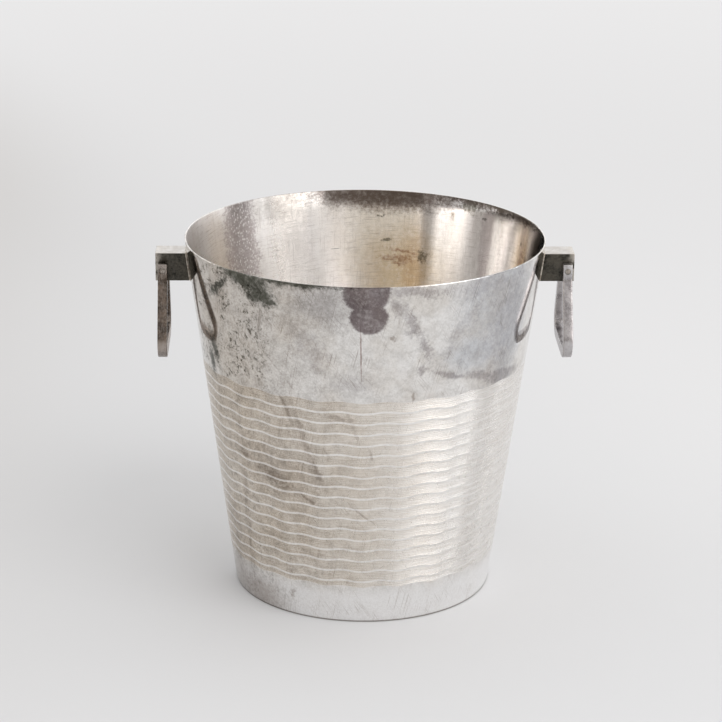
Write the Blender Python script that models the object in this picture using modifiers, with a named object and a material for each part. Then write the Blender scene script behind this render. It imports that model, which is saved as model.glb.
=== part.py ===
"""A silver-plated champagne bucket with two swinging stirrup handles.

Metres, +Z up. The origin is the centre of the circle that the bucket stands on, +Z is the axis of
the cone, and the handles are out along +X and -X. At rest both handles hang straight down.
"""

import math

import bmesh
import bpy
from mathutils import Matrix, Vector

# The conical wall
RIM_RADIUS = 0.1000
BASE_RADIUS = 0.0724
HEIGHT = 0.2010
WALL = 0.0009
ROUND_STEPS = 128
RIM_STEPS = 4

# The floor, a disc let in above the standing edge
FLOOR_RECESS = 0.0030
FLOOR_THICKNESS = 0.0012

# The brackets, square bars that stand out of the wall
BRACKET_REACH = 0.1159
BRACKET_ROOT = 0.0900
BRACKET_DEPTH = 0.0152
BRACKET_HEIGHT = 0.0159
BRACKET_TOP = HEIGHT - 0.0082
EDGE_BREAK = 0.0003

# The handles, square bar bent into a stirrup and hung on a pin through its two ears.
# Heights and depths are from the pivot to the middle of the bar, and the corners are before rounding.
PIVOT_X = 0.11185
PIVOT_Z = HEIGHT - 0.0170
BAR_WIDTH = 0.0052
BAR_THICKNESS = 0.0050
EAR_RISE = 0.0036
EAR_STRAIGHT = 0.0056
EAR_BEND_RADIUS = 0.0080
CORNER_Y = 0.0301
CORNER_Z = -0.0453
CORNER_RADIUS = 0.0080
ARC_STEP = math.radians(7.5)

# The pins, and the room around everything that touches
PIN_RADIUS = 0.0015
PIN_DOME = 0.0002
PIN_STEPS = 32
BORE_CLEARANCE = 0.0001
GAP = 0.0003

# Points closer than this are one point, and only sharper edges than this are broken
SAME_POINT = 0.00001
SHARP_EDGE = math.radians(40)

WALL_SLOPE = (RIM_RADIUS - BASE_RADIUS) / HEIGHT
EAR_Y = BRACKET_DEPTH / 2 + GAP + BAR_THICKNESS / 2

# The finishes of the silver plate: a colour and a roughness
SILVER = ((0.62, 0.60, 0.57), 0.22)
FLOOR_SILVER = ((0.55, 0.53, 0.49), 0.35)
TARNISHED = ((0.17, 0.15, 0.12), 0.42)
BROWNED = ((0.24, 0.20, 0.17), 0.38)
GREYED = ((0.36, 0.34, 0.34), 0.38)
PIN_SILVER = ((0.40, 0.38, 0.34), 0.32)


def outer_radius(z):
    """The wall's outer radius at a height above the standing edge."""
    return BASE_RADIUS + WALL_SLOPE * z


def start_scene():
    """Clears the scene and makes the collection of parts and the collection of cutters."""
    for obj in list(bpy.data.objects):
        bpy.data.objects.remove(obj)
    parts = bpy.data.collections.new("champagne_bucket")
    cutters = bpy.data.collections.new("cutters")
    for collection in (parts, cutters):
        bpy.context.scene.collection.children.link(collection)
    return parts, cutters


def metal(name, finish):
    """A Principled material for one finish of the silver plate."""
    colour, roughness = finish
    material = bpy.data.materials.new(name)
    material.use_nodes = True
    shader = material.node_tree.nodes["Principled BSDF"]
    shader.inputs["Base Color"].default_value = (*colour, 1.0)
    shader.inputs["Metallic"].default_value = 1.0
    shader.inputs["Roughness"].default_value = roughness
    return material


def add_mesh(name, mesh, collection, material=None):
    """Links a new object for a mesh."""
    obj = bpy.data.objects.new(name, mesh)
    collection.objects.link(obj)
    if material:
        mesh.materials.append(material)
    return obj


def mesh_from(bm, name):
    """Turns a bmesh into a mesh."""
    mesh = bpy.data.meshes.new(name)
    bm.to_mesh(mesh)
    bm.free()
    return mesh


def mark_as_cutter(obj):
    """A cutter shows as a wire and never renders."""
    obj.hide_render = True
    obj.display_type = "WIRE"
    return obj


def cut(obj, cutter):
    """Subtracts a cutter from an object."""
    modifier = obj.modifiers.new("cut_" + cutter.name, "BOOLEAN")
    modifier.operation = "DIFFERENCE"
    modifier.solver = "EXACT"
    modifier.object = cutter


def break_edges(obj, width):
    """Takes the sharpness off the edges with one narrow flat."""
    modifier = obj.modifiers.new("broken_edges", "BEVEL")
    modifier.width = width
    modifier.segments = 1
    modifier.limit_method = "ANGLE"
    modifier.angle_limit = SHARP_EDGE


def turned(name, profile, collection, material):
    """Turns a closed profile of (radius, height) points, outer side downwards, about Z."""
    bm = bmesh.new()
    verts = [bm.verts.new((radius, 0, height)) for radius, height in profile]
    for index, vert in enumerate(verts):
        bm.edges.new((vert, verts[(index + 1) % len(verts)]))
    obj = add_mesh(name, mesh_from(bm, name), collection, material)
    screw = obj.modifiers.new("turn", "SCREW")
    screw.axis = "Z"
    screw.steps = ROUND_STEPS
    screw.render_steps = ROUND_STEPS
    screw.use_merge_vertices = True
    screw.merge_threshold = SAME_POINT
    screw.use_smooth_shade = True
    return obj


def body_shell(parts):
    """The wall: a straight cone of sheet, round over the rim and square where it stands."""
    half = WALL / 2
    rim_centre = (RIM_RADIUS - half, HEIGHT - half)
    rim = []
    for step in range(2 * RIM_STEPS + 1):
        angle = math.pi - math.pi * step / (2 * RIM_STEPS)
        rim.append((rim_centre[0] + half * math.cos(angle), rim_centre[1] + half * math.sin(angle)))
    foot = [(BASE_RADIUS, 0), (BASE_RADIUS - WALL, 0)]
    return turned("body_shell", rim + foot, parts, metal("bucket_wall", SILVER))


def base_disc(parts):
    """The floor: a flat disc inside the wall, a little above the standing edge."""
    top = FLOOR_RECESS + FLOOR_THICKNESS
    bm = bmesh.new()
    bmesh.ops.create_cone(
        bm,
        cap_ends=True,
        cap_tris=False,
        segments=ROUND_STEPS,
        radius1=outer_radius(FLOOR_RECESS) - WALL - GAP,
        radius2=outer_radius(top) - WALL - GAP,
        depth=FLOOR_THICKNESS,
    )
    mesh = mesh_from(bm, "base_disc")
    obj = add_mesh("base_disc", mesh, parts, metal("bucket_floor", FLOOR_SILVER))
    obj.location = (0, 0, FLOOR_RECESS + FLOOR_THICKNESS / 2)
    return obj


def wall_cutter(cutters):
    """The wall's outer cone, larger by the gap, which shapes the root of each bracket."""
    slant = math.hypot(1, WALL_SLOPE)
    bm = bmesh.new()
    bmesh.ops.create_cone(
        bm,
        cap_ends=True,
        segments=ROUND_STEPS,
        radius1=BASE_RADIUS + GAP * slant,
        radius2=RIM_RADIUS + GAP * slant,
        depth=HEIGHT,
    )
    obj = add_mesh("wall_cutter", mesh_from(bm, "wall_cutter"), cutters)
    obj.location = (0, 0, HEIGHT / 2)
    return mark_as_cutter(obj)


def pin_mesh(name, radius, half_length, dome):
    """A round pin along Y, with ends that are raised a little by peening."""
    bm = bmesh.new()
    turn = Matrix.Rotation(math.radians(90), 3, "X")
    made = bmesh.ops.create_cone(
        bm,
        cap_ends=True,
        segments=PIN_STEPS,
        radius1=radius,
        radius2=radius,
        depth=2 * half_length,
    )
    bmesh.ops.rotate(bm, verts=made["verts"], matrix=turn)
    if dome:
        ends = [face for face in bm.faces if len(face.verts) == PIN_STEPS]
        for face in ends:
            bmesh.ops.poke(bm, faces=[face], offset=dome)
    return mesh_from(bm, name)


def bore_cutter(name, pivot, cutters):
    """The round hole for a pin, through the ears and the bracket."""
    mesh = pin_mesh(name, PIN_RADIUS + BORE_CLEARANCE, BRACKET_DEPTH, 0)
    obj = add_mesh(name, mesh, cutters)
    obj.parent = pivot
    return mark_as_cutter(obj)


def bracket(name, side, parts, shaper, bore):
    """A square bar with its root cut to the wall and its end bored for the pin."""
    bm = bmesh.new()
    bmesh.ops.create_cube(bm, size=1)
    size = Vector((BRACKET_REACH - BRACKET_ROOT, BRACKET_DEPTH, BRACKET_HEIGHT))
    bmesh.ops.scale(bm, vec=size, verts=bm.verts)
    mesh = mesh_from(bm, name)
    obj = add_mesh(name, mesh, parts, metal(name, TARNISHED))
    middle = (BRACKET_REACH + BRACKET_ROOT) / 2
    obj.location = (side * middle, 0, BRACKET_TOP - BRACKET_HEIGHT / 2)
    break_edges(obj, EDGE_BREAK)
    cut(obj, shaper)
    cut(obj, bore)
    return obj


def rounded_path(corners):
    """Points and left-hand normals along straight runs joined by arcs.

    Each corner is (point, radius), and the first and last points are plain ends.
    """
    path = []

    def add(point, direction):
        path.append((point, Vector((-direction.y, direction.x))))

    first, last = corners[0][0], corners[-1][0]
    add(first, (corners[1][0] - first).normalized())
    for (before, _), (corner, radius), (after, _) in zip(corners, corners[1:], corners[2:]):
        arriving = (corner - before).normalized()
        leaving = (after - corner).normalized()
        turn = math.atan2(arriving.cross(leaving), arriving.dot(leaving))
        start = corner - arriving * radius * math.tan(abs(turn) / 2)
        sign = math.copysign(1, turn)
        centre = start + Vector((-arriving.y, arriving.x)) * radius * sign
        steps = max(2, math.ceil(abs(turn) / ARC_STEP))
        for step in range(steps + 1):
            spin = Matrix.Rotation(turn * step / steps, 2)
            add(centre + spin @ (start - centre), spin @ arriving)
    add(last, (last - corners[-2][0]).normalized())
    return path


def stirrup_outline():
    """The closed outline of the bent bar, seen along X, about its pivot."""
    half = [
        (Vector((EAR_Y, EAR_RISE)), 0),
        (Vector((EAR_Y, -EAR_STRAIGHT)), EAR_BEND_RADIUS),
        (Vector((CORNER_Y, CORNER_Z)), CORNER_RADIUS),
    ]
    other = [(Vector((-point.x, point.y)), radius) for point, radius in reversed(half)]
    path = rounded_path(half + other)
    reach = BAR_THICKNESS / 2
    inside = [point - normal * reach for point, normal in path]
    outside = [point + normal * reach for point, normal in path]
    return outside + inside[::-1]


def handle(name, pivot, parts, bore, finish):
    """A stirrup of bent bar, with its origin on the pin's axis."""
    curve = bpy.data.curves.new(name, "CURVE")
    curve.dimensions = "2D"
    curve.fill_mode = "BOTH"
    curve.extrude = BAR_WIDTH / 2
    outline = stirrup_outline()
    spline = curve.splines.new("POLY")
    spline.points.add(len(outline) - 1)
    for point, place in zip(spline.points, outline):
        point.co = (place.x, place.y, 0, 1)
    spline.use_cyclic_u = True
    guide = bpy.data.objects.new(name + "_outline", curve)
    parts.objects.link(guide)
    # The curve's X, Y and Z become the object's Y, Z and X.
    guide.matrix_world = Matrix(((0, 0, 1, 0), (1, 0, 0, 0), (0, 1, 0, 0), (0, 0, 0, 1)))
    bpy.context.view_layer.update()
    mesh = bpy.data.meshes.new_from_object(guide.evaluated_get(bpy.context.evaluated_depsgraph_get()))
    mesh.transform(guide.matrix_world)
    bpy.data.objects.remove(guide)
    bm = bmesh.new()
    bm.from_mesh(mesh)
    bmesh.ops.remove_doubles(bm, verts=bm.verts, dist=SAME_POINT)
    bmesh.ops.recalc_face_normals(bm, faces=bm.faces)
    bm.to_mesh(mesh)
    bm.free()
    mesh.materials.clear()
    mesh.name = name
    obj = add_mesh(name, mesh, parts, metal(name, finish))
    obj.parent = pivot
    cut(obj, bore)
    return obj


def pivot_pin(name, pivot, parts):
    """The pin through both ears and the bracket, peened nearly flush."""
    half_length = EAR_Y + BAR_THICKNESS / 2
    mesh = pin_mesh(name, PIN_RADIUS, half_length, PIN_DOME)
    obj = add_mesh(name, mesh, parts, metal(name, PIN_SILVER))
    obj.parent = pivot
    return obj


def side_pieces(word, side, parts, cutters, shaper, finish):
    """One bracket with its handle and pin, on the side given by -1 or +1 along X."""
    pivot = bpy.data.objects.new(word + "_pivot", None)
    pivot.location = (side * PIVOT_X, 0, PIVOT_Z)
    parts.objects.link(pivot)
    bore = bore_cutter(word + "_bore_cutter", pivot, cutters)
    bracket(word + "_bracket", side, parts, shaper, bore)
    handle(word + "_handle", pivot, parts, bore, finish)
    pivot_pin(word + "_pivot_pin", pivot, parts)


def main():
    """Builds the bucket."""
    parts, cutters = start_scene()
    body_shell(parts)
    base_disc(parts)
    shaper = wall_cutter(cutters)
    side_pieces("left", -1, parts, cutters, shaper, BROWNED)
    side_pieces("right", 1, parts, cutters, shaper, GREYED)


main()
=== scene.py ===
"""Looks for the silver champagne bucket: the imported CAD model's pieces remade with their fine
shapes and with tarnished, scratched and engraved silver plate. Metres, in the CAD model's frame.

Angles round the bucket are in degrees from the front (-Y), rising towards the right (+X).
"""

from math import atan2, ceil, copysign, cos, hypot, pi, radians, sin, sqrt, tan

import bpy
from mathutils import Matrix, Vector


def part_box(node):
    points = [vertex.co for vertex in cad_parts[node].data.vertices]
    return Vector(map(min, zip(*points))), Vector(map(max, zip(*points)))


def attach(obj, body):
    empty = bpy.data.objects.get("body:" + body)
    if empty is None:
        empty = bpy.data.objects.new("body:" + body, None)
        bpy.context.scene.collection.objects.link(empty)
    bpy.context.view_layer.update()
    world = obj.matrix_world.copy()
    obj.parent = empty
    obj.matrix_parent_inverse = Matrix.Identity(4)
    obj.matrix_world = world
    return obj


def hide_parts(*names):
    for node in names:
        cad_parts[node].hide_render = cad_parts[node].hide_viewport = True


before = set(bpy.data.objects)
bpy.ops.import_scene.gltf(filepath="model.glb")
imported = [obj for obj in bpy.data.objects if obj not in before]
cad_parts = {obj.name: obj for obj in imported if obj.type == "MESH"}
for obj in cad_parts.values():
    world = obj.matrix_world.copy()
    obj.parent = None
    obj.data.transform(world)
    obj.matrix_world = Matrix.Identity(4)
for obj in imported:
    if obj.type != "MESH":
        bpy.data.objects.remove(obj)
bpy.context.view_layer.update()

MM = 0.001
SIDES = {"left": -1, "right": 1}

# The wall, read off the frame
shell_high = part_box("body_shell")[1]
RIM_RADIUS = shell_high.x
HEIGHT = shell_high.z
standing_edge = [v.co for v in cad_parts["body_shell"].data.vertices if v.co.z < 0.01 * MM]
FOOT_RADIUS = max(hypot(point.x, point.y) for point in standing_edge)
SLOPE = (RIM_RADIUS - FOOT_RADIUS) / HEIGHT
WALL = 0.9 * MM
FOOT_EDGE = 0.35 * MM
# Painted contact shadow along the standing edge: full below the first height, gone above the second
CONTACT_SHADOW_FULL, CONTACT_SHADOW_TOP = 0.4 * MM, 1.3 * MM

# The engraved band: matt stripes between thin polished lines, all following one wave
WAVES = 23
WAVE_SWING = 0.55 * MM
WAVE_CREST = -9.8
STEPS_PER_WAVE = 16
AROUND = WAVES * STEPS_PER_WAVE
BAND_BOTTOM = 22.2 * MM
BAND_TOP = 134.6 * MM
PLAIN_TOP = BAND_BOTTOM - 2 * MM
LINE_COUNT = 17
LINE_FIRST = 25.7 * MM
LINE_PITCH = 6.41 * MM
LINE_WIDTH = 0.85 * MM
SHOULDER = 0.14 * MM
RELIEF = 0.03 * MM
HATCH_PITCH = LINE_PITCH / 6

# The floor disc, with its rings' radii from the middle out, and the solder round it
SOLDER = 0.9 * MM
DISC_EMBED = 0.4 * MM
DISC_TOP_RINGS = (2 * MM, 15 * MM, 30 * MM, 45 * MM, 60 * MM)
DISC_UNDER_RINGS = (2 * MM, 30 * MM, 60 * MM)
TURNING_PITCH = 0.8 * MM

# Brackets and handles
BLOCK_EDGE = 0.4 * MM
BLOCK_CORNER = 0.5 * MM
BLOCK_EMBED = 0.6 * MM
BLOCK_WORN = 4 * MM
BLOCK_FACE_BORDER = 0.8 * MM
BAR_THICKNESS = 5.0 * MM
BAR_EDGE = 0.55 * MM
EAR_GAP = 0.3 * MM
EAR_STRAIGHT = 5.6 * MM
EAR_BEND = 8.0 * MM
CORNER_BEND = 8.0 * MM
CORNER_Y = 30.1 * MM
ARC_STEP = radians(3)
END_WEAR = 0.8
PIN_RADIUS = 1.5 * MM
PIN_DOME = 0.2 * MM
PIN_SEAM = 0.1 * MM
SMALLEST_CORNER = 0.05 * MM
SMALLEST_BAR_CORNER = 0.08 * MM

# How finely shapes are divided
RIM_STEPS = 8
FOOT_STEPS = 4
EDGE_STEPS = 5
CORNER_STEPS = 4
PLAIN_ROWS = 6
UPPER_ROWS = 12
INSIDE_ROWS = 20
BLOCK_SIDE_STEPS = 10
DISC_AROUND = 192
PIN_AROUND = 32
PIN_DOME_STEPS = 6

# The camera: the lens in millimetres on a 36 mm sensor, and where it stands and aims
LENS = 127.455
SENSOR = 36.0
CAMERA_DISTANCE = 1.43914
CAMERA_PITCH = 18.539
CAMERA_TURN = 1.722
CAMERA_ROLL = 0.569
AIM_HEIGHT = 127.58 * MM
AIM_ASIDE = 1.667 * MM


def wall_radius(z):
    """The wall's outer radius at a height above the standing edge."""
    return FOOT_RADIUS + SLOPE * z


def quarter_turn(steps):
    """Angles from 0 to a right angle."""
    return [pi / 2 * step / steps for step in range(steps + 1)]


# ---------------------------------------------------------------- shader building

class Graph:
    """One material and short ways to add nodes to it. A value is a number, a colour or a socket."""

    def __init__(self, name):
        self.material = bpy.data.materials.new(name)
        self.material.use_nodes = True
        self.tree = self.material.node_tree
        self.shader = self.tree.nodes["Principled BSDF"]
        self.position = self.add("ShaderNodeTexCoord").outputs["Object"]

    def add(self, kind, **settings):
        node = self.tree.nodes.new(kind)
        for key, value in settings.items():
            setattr(node, key, value)
        return node

    def put(self, socket, value):
        if isinstance(value, bpy.types.NodeSocket):
            self.tree.links.new(value, socket)
        elif hasattr(value, "__len__") and len(value) == 3 and socket.type == "RGBA":
            socket.default_value = (*value, 1)
        else:
            socket.default_value = value

    def math(self, operation, *values):
        node = self.add("ShaderNodeMath", operation=operation)
        for socket, value in zip(node.inputs, values):
            self.put(socket, value)
        return node.outputs[0]

    def add_up(self, first, *rest):
        for value in rest:
            first = self.math("ADD", first, value)
        return first

    def times(self, first, *rest):
        for value in rest:
            first = self.math("MULTIPLY", first, value)
        return first

    def ramp(self, value, low, high, start=0.0, end=1.0):
        """Goes smoothly from start to end as value goes from low to high."""
        node = self.add("ShaderNodeMapRange", interpolation_type="SMOOTHSTEP")
        for name, number in (("Value", value), ("From Min", low), ("From Max", high),
                             ("To Min", start), ("To Max", end)):
            self.put(node.inputs[name], number)
        return node.outputs[0]

    def mix(self, amount, first, second):
        """A colour between two."""
        node = self.add("ShaderNodeMix", data_type="RGBA")
        for socket, value in zip((node.inputs[0], node.inputs[6], node.inputs[7]), (amount, first, second)):
            self.put(socket, value)
        return node.outputs[2]

    def tint(self, colour, shade):
        """A colour seen through a whole film of a shade."""
        node = self.add("ShaderNodeMix", data_type="RGBA", blend_type="MULTIPLY")
        for socket, value in zip((node.inputs[0], node.inputs[6], node.inputs[7]), (1.0, colour, shade)):
            self.put(socket, value)
        return node.outputs[2]

    def film(self, amount, colour, shade):
        """A colour with a film of a shade over that much of it."""
        return self.mix(amount, colour, self.tint(colour, shade))

    def parts(self, vector):
        """A vector's three numbers."""
        node = self.add("ShaderNodeSeparateXYZ")
        self.put(node.inputs[0], vector)
        return node.outputs

    def length(self, first, second):
        """The length of a line that goes so far one way and so far square to it."""
        return self.math("SQRT", self.add_up(self.times(first, first), self.times(second, second)))

    def noise(self, size, detail=2.0, rough=0.5, stretch=(1, 1, 1), shift=0.0, warp=0.0, vector=None):
        """Noise from about 0.3 to 0.7 with grains of about a size in metres. shift picks a piece of it."""
        place = self.add("ShaderNodeMapping")
        self.put(place.inputs["Vector"], vector or self.position)
        place.inputs["Location"].default_value = (shift, shift * 0.7, shift * 1.3)
        place.inputs["Scale"].default_value = [s / size for s in stretch]
        node = self.add("ShaderNodeTexNoise")
        self.put(node.inputs["Vector"], place.outputs[0])
        for key, value in (("Scale", 1.0), ("Detail", detail), ("Roughness", rough), ("Distortion", warp)):
            node.inputs[key].default_value = value
        return node.outputs["Fac"]

    def cells(self, size, stretch=(1, 1, 1), shift=0.0):
        """Distance from the nearest of many scattered points, in steps of that size in metres."""
        place = self.add("ShaderNodeMapping")
        self.put(place.inputs["Vector"], self.position)
        place.inputs["Location"].default_value = (shift, shift, shift)
        place.inputs["Scale"].default_value = [s / size for s in stretch]
        node = self.add("ShaderNodeTexVoronoi")
        self.put(node.inputs["Vector"], place.outputs[0])
        node.inputs["Scale"].default_value = 1.0
        return node.outputs["Distance"]

    def finish(self, colour, roughness, height=None, bump=0.0, anisotropic=0.0, turn=0.0, tangent=None):
        """Sets the silver's surface. height is in metres, and bump is its strength."""
        inputs = self.shader.inputs
        self.put(inputs["Base Color"], colour)
        self.put(inputs["Roughness"], roughness)
        inputs["Metallic"].default_value = 1.0
        inputs["Anisotropic"].default_value = anisotropic
        inputs["Anisotropic Rotation"].default_value = turn
        if tangent:
            node = self.add("ShaderNodeTangent", direction_type="RADIAL", axis=tangent)
            self.put(inputs["Tangent"], node.outputs[0])
        if height is not None:
            node = self.add("ShaderNodeBump")
            node.inputs["Strength"].default_value = bump
            node.inputs["Distance"].default_value = 1.0
            self.put(node.inputs["Height"], height)
            self.put(inputs["Normal"], node.outputs[0])
        return self.material


class Chart:
    """The wall unrolled: how far round, and how high, in metres. Angles start at the front, or at the back
    for the inside, and rise to the right."""

    ROUND = 92.5 * MM
    DRIFT = 11 * MM

    def __init__(self, graph, from_back=False):
        self.graph = graph
        x, y, self.up = graph.parts(graph.position)
        self.angle = graph.math("ARCTAN2", x, graph.times(y, 1.0 if from_back else -1.0))
        self.across = graph.times(self.angle, self.ROUND)
        self.sideways = graph.times(graph.add_up(graph.noise(9 * MM, 6, 0.62, shift=131), -0.5), self.DRIFT)
        self.upwards = graph.times(graph.add_up(graph.noise(9 * MM, 6, 0.62, shift=137), -0.5), self.DRIFT)
        self.grain = graph.add_up(graph.noise(1.8 * MM, 5, 0.7, shift=139), -0.5)
        self.depth = graph.ramp(graph.noise(3.0 * MM, 5, 0.7, shift=149), 0.30, 0.56, 0.74, 1.0)

    def patch(self, angle, height, half_width, half_height, lean=0.0, soft=0.25, drift=1.0, grain=1.0):
        """1 inside an oval centred at an angle and a height in mm, with half sizes in mm, falling to 0.

        drift bends its edge in and out, and grain breaks the edge up.
        """
        g = self.graph
        du = g.add_up(self.across, -radians(angle) * self.ROUND, g.times(self.sideways, drift))
        dv = g.add_up(self.up, -height * MM, g.times(self.upwards, drift))
        c, s = cos(radians(lean)), sin(radians(lean))
        along = g.add_up(g.times(du, c / (half_width * MM)), g.times(dv, s / (half_width * MM)))
        over = g.add_up(g.times(du, -s / (half_height * MM)), g.times(dv, c / (half_height * MM)))
        away = g.add_up(g.length(along, over), g.times(self.grain, 3.0 * grain))
        return g.ramp(away, 1 + soft, 1 - soft)

    def fade(self, low, high, start=0.0, end=1.0):
        """Goes from start to end as the angle in degrees goes from low to high. Round the back it is a third
        of the way, so that no seam shows where the angles meet.
        """
        g = self.graph
        front = g.ramp(self.angle, radians(low), radians(high))
        behind = g.ramp(g.math("ABSOLUTE", self.angle), radians(62), radians(118))
        level = g.add_up(front, g.times(behind, g.math("SUBTRACT", 1 / 3, front)))
        return g.add_up(start, g.times(level, end - start))

    def scratches(self, lean, length, width, share, shift):
        """1 along scattered straight hairlines at a lean in degrees from upright, and 0 elsewhere."""
        g = self.graph
        flat = g.add("ShaderNodeCombineXYZ")
        g.put(flat.inputs[0], self.across)
        g.put(flat.inputs[1], self.up)
        turned = g.add("ShaderNodeVectorRotate", rotation_type="Z_AXIS")
        g.put(turned.inputs["Vector"], flat.outputs[0])
        turned.inputs["Angle"].default_value = radians(lean)
        lines = g.noise(width, 1, 0.5, stretch=(1, width / length, 1), shift=shift, vector=turned.outputs[0])
        return g.ramp(lines, 0.74 - share, 0.76 - share)


# Shades of bare silver, clean or dull
SILVER = (0.91, 0.895, 0.875)
# Painted light: the foot's silver is lighter than the rest, for the brightly lit table it reflects
FOOT_PAINTED_LIGHT_SILVER = (0.98, 0.98, 0.98)
LINE_SILVER = (0.99, 0.965, 0.93)
BAND_SILVER = (0.98, 0.975, 0.965)
INSIDE_CLEAN, INSIDE_DULL = (0.95, 0.935, 0.925), (0.90, 0.88, 0.85)
# The beads' bright silver is a painted highlight on them
BEAD_PAINTED_HIGHLIGHT = (0.98, 0.97, 0.96)
DISC_CLEAN, DISC_DULL = (0.80, 0.74, 0.66), (0.55, 0.48, 0.40)
PIN_CLEAN, PIN_DULL = (0.42, 0.38, 0.34), (0.22, 0.19, 0.165)
SOLDER_DULL, SOLDER_CLEAN = (0.30, 0.26, 0.215), (0.58, 0.53, 0.47)
BLOCK_BLACK, BLOCK_BROWN, BLOCK_GREY = (0.015, 0.015, 0.012), (0.076, 0.069, 0.056), (0.12, 0.109, 0.093)
BLOCK_UPPER_PALE, BLOCK_DULL, BLOCK_RUBBED = (0.68, 0.65, 0.62), (0.50, 0.465, 0.43), (0.72, 0.67, 0.60)

# Shades of the films over it, which multiply its colour
WARM_FILM = (0.86, 0.82, 0.77)
GREY_FILM = (0.56, 0.545, 0.53)
YELLOWED = (0.68, 0.635, 0.56)
BAND_COOL, BAND_WARM = (1.0, 0.99, 0.98), (1.0, 0.96, 0.905)
GROOVE_FILM = (0.62, 0.56, 0.49)
GRAIN_FILM = (0.55, 0.50, 0.44)
STREAK_FILM = (0.80, 0.76, 0.74)
FINE_FILM = (0.55, 0.50, 0.46)
BROWN = (0.34, 0.28, 0.24)
PLUM = (0.24, 0.20, 0.21)
GREEN_BLACK = (0.11, 0.12, 0.10)
SMOKE = (0.58, 0.56, 0.57)
SPECK = (0.14, 0.13, 0.10)
# Painted contact shadow along the standing edge
CONTACT_SHADOW = (0.30, 0.27, 0.24)

# Tarnish on the outside, and painted shade low on the left of the foot. Each shade has a strength and its
# patches: angle and height of the middle, half width and half height in mm, and where they differ from
# Chart.patch's own, lean, soft, drift, grain.
OUTSIDE_STAINS_AND_SHADE = [
    (PLUM, 0.95, [
        (-1.2, 198.0, 11.5, 12.0, 0, 0.09, 0.28, 0.08),
        (-0.3, 183.5, 9.5, 9.0, 0, 0.09, 0.28, 0.08),
    ]),
    ((0.42, 0.32, 0.30), 0.85, [
        (-2.7, 163.0, 0.38, 14.0, 1, 0.6, 0.08, 0.2),
    ]),
    (GREEN_BLACK, 0.95, [
        (-36.5, 191.5, 9.0, 6.0, -22, 0.4, 1.0, 0.6),
        (-42.0, 199.0, 15.0, 6.0, -8, 0.5, 1.0, 0.6),
        (-33.0, 187.5, 4.0, 2.0, 0, 0.5, 1.0, 0.6),
        (-55.0, 189.0, 9.0, 2.0, 38, 0.6, 0.8, 1.0),
        (-24.0, 201.0, 26.0, 2.4, 0, 0.6, 0.5, 0.8),
        (-66.0, 141.0, 2.6, 7.0, 8, 0.5, 0.5, 0.8),
        (-62.5, 150.0, 3.0, 8.0, 12, 0.8, 1.0, 1.2),
    ]),
    (SMOKE, 0.90, [
        (13.0, 198.0, 14.0, 3.0, -6, 0.7, 1.2, 1.0),
        (8.5, 190.0, 3.0, 5.0, 10, 0.8, 1.2, 1.0),
        (13.5, 179.0, 2.6, 9.0, 28, 0.7, 1.4, 1.2),
        (18.5, 164.0, 2.4, 7.0, 22, 0.7, 1.4, 1.2),
        (17.0, 152.0, 2.2, 2.0, 0, 0.7, 1.2, 1.2),
        (28.5, 147.0, 11.0, 1.2, -16, 0.7, 0.6, 0.5),
        (54.0, 138.5, 17.0, 3.6, -3, 0.35, 0.4, 0.3),
        (42.0, 142.5, 12.0, 2.6, -14, 0.6, 0.5, 0.4),
    ]),
    (SMOKE, 0.50, [
        (51.5, 172.0, 13.0, 38.0, -14, 0.7, 0.9, 0.5),
        (38.0, 196.0, 20.0, 6.0, 0, 0.8, 1.0, 0.5),
        (-17.0, 158.0, 5.0, 7.0, 0, 0.8, 1.5, 1.6),
        (-22.0, 168.0, 6.0, 12.0, 20, 0.9, 1.8, 1.4),
        (-14.0, 192.0, 14.0, 12.0, 0, 0.9, 1.6, 1.0),
        (-6.0, 145.0, 9.0, 5.0, 0, 0.9, 1.5, 1.4),
        (30.0, 172.0, 3.0, 16.0, -35, 0.9, 1.5, 1.0),
    ]),
    (BROWN, 0.62, [
        (7.0, 172.0, 2.0, 1.4, 0, 0.6, 1.0, 1.0),
        (15.0, 137.0, 0.9, 2.6, -8, 0.5, 0.4, 0.8),
        (13.5, 65.0, 0.9, 1.2, 0, 0.5, 0.4, 0.8),
        (28.8, 115.0, 0.5, 0.5, 0, 0.5, 0.2, 0.3),
        (28.8, 64.5, 0.8, 0.5, 0, 0.5, 0.2, 0.3),
        (-29.5, 127.5, 1.2, 7.5, 22, 0.8, 0.8, 1.2),
        (-18.5, 91.0, 1.6, 6.0, 20, 0.8, 0.9, 1.4),
        (-11.0, 125.0, 5.5, 1.4, -8, 0.9, 0.8, 1.5),
        (-23.0, 74.5, 6.0, 1.0, -40, 0.5, 0.5, 0.8),
        (-1.0, 65.5, 9.0, 0.45, -36, 0.6, 0.4, 0.8),
        (-37.0, 84.0, 9.0, 3.0, -18, 1.0, 1.0, 1.8),
        (-51.0, 93.0, 6.0, 1.4, -12, 1.0, 1.0, 1.6),
        (1.5, 103.0, 0.8, 2.8, 20, 0.6, 0.5, 1.0),
        (-32.0, 13.5, 1.8, 2.4, -20, 0.7, 0.8, 1.4),
    ]),
    # Painted shade low on the left of the foot: the table's shadow beside it, and the shadowed table it
    # reflects
    (BROWN, 0.62, [
        (-54.0, 6.0, 25.0, 11.0, 0, 0.7, 0.5, 0.5),
        (-72.0, 9.0, 20.0, 14.0, 0, 0.5, 0.5, 0.5),
    ]),
    (BROWN, 0.42, [
        (-22.5, 106.0, 1.6, 20.0, 14, 1.0, 0.9, 1.8),
        (-5.0, 119.5, 0.9, 8.0, 22, 0.9, 0.7, 1.6),
    ]),
    (BROWN, 0.34, [
        (-54.0, 60.0, 2.4, 44.0, -4, 0.9, 0.5, 0.8),
        (-66.0, 40.0, 10.0, 14.0, 0, 0.9, 0.8, 0.5),
        (-37.0, 88.0, 16.0, 12.0, -20, 0.9, 1.2, 1.4),
    ]),
]

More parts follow.
